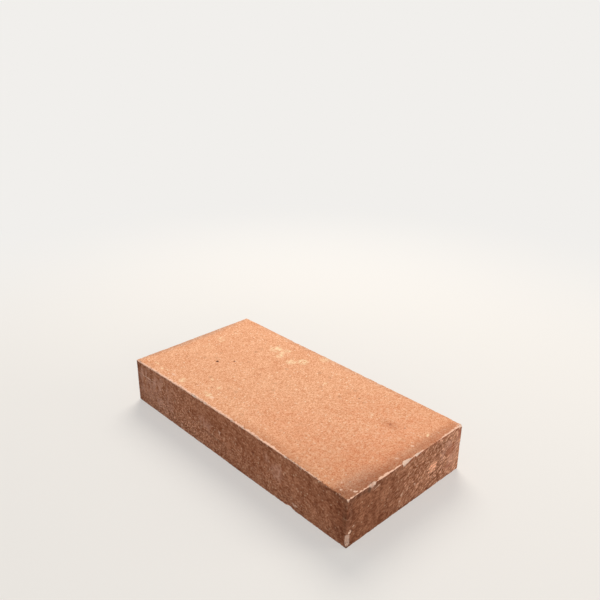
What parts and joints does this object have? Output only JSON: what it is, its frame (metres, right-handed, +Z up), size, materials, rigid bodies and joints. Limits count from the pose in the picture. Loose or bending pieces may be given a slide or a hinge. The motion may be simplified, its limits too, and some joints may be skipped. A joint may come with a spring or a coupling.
{
  "type": "clay brick",
  "caption": "Solid flat fired clay brick with plain beds, straight sides and lightly chipped arrises, for paving and thin masonry.",
  "frame": {"origin": "middle of the lower bed face, level with the surface that the brick lies on", "axes": "+X along the brick's length towards the chipped header face, +Y across its width towards the back, +Z up through its thickness"},
  "size_m": [0.22, 0.11, 0.035],
  "materials": {
    "fired_clay": "matt sandy terracotta, paler on the chipped arrises, with faint lime scuffs"
  },
  "bodies": {
    "root": {"brick": "fired_clay"}
  },
  "joints": []
}
